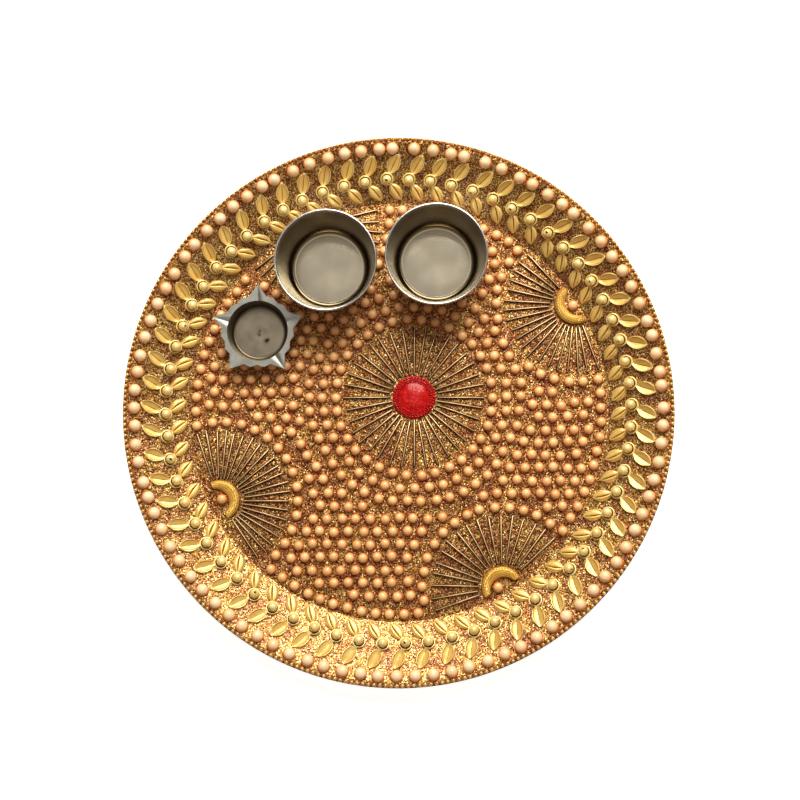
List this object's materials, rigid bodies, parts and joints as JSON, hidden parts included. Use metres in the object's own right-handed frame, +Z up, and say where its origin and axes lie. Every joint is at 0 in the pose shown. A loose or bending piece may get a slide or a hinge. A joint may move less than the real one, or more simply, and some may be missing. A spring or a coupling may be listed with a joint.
{
  "type": "puja thali",
  "caption": "Round steel prayer tray covered in glitter, half pearls, gilt leaf sprigs and pipe-bead fans round a red stone, with loose bowls and a star oil lamp.",
  "frame": {"origin": "middle of the tray's flat underside", "axes": "+Z up, +Y towards the side where the bowls stand, +X to the right seen from above with the bowls at the back"},
  "size_m": [0.3048, 0.3048, 0.032],
  "materials": {
    "tray_steel": "satin",
    "vessel_steel": "brushed inside, polished rim",
    "glitter": "brown-gold glitter",
    "chain_thread": "twisted thread",
    "chain_gold": "gilt",
    "rim_pearl": "pearlescent",
    "field_pearl": "pearlescent",
    "leaf_gold": "gilt",
    "bead_gold": "gilt",
    "red_stone": "clear resin over foil",
    "pipe_copper": "gloss",
    "crescent_gold": "ribbed gilt"
  },
  "bodies": {
    "tray": {"thali_plate": "tray_steel", "floor_glitter_sheet": "glitter", "wall_glitter_band": "glitter", "rim_chain_thread": "chain_thread", "rim_chain_balls": "chain_gold", "rim_pearls": "rim_pearl", "leaf_sprigs": "leaf_gold", "leaf_beads": "bead_gold", "field_pearls": "field_pearl", "centre_stone": "red_stone", "medallion_pipes": "pipe_copper", "fan_pearls": "field_pearl", "right_fan_pipes": "pipe_copper", "right_fan_crescent": "crescent_gold", "back_fan_pipes": "pipe_copper", "back_fan_crescent": "crescent_gold", "left_fan_pipes": "pipe_copper", "left_fan_crescent": "crescent_gold", "front_fan_pipes": "pipe_copper", "front_fan_crescent": "crescent_gold"},
    "left_bowl": {"left_bowl": "vessel_steel"},
    "right_bowl": {"right_bowl": "vessel_steel"},
    "star_diya": {"star_diya": "vessel_steel"}
  },
  "joints": [
    {"name": "left_bowl_lift", "type": "slide", "parent": "tray", "child": "left_bowl", "axis": [0, 0, 1], "range_m": [0, 0.05]},
    {"name": "right_bowl_lift", "type": "slide", "parent": "tray", "child": "right_bowl", "axis": [0, 0, 1], "range_m": [0, 0.05]},
    {"name": "diya_lift", "type": "slide", "parent": "tray", "child": "star_diya", "axis": [0, 0, 1], "range_m": [0, 0.05]}
  ]
}
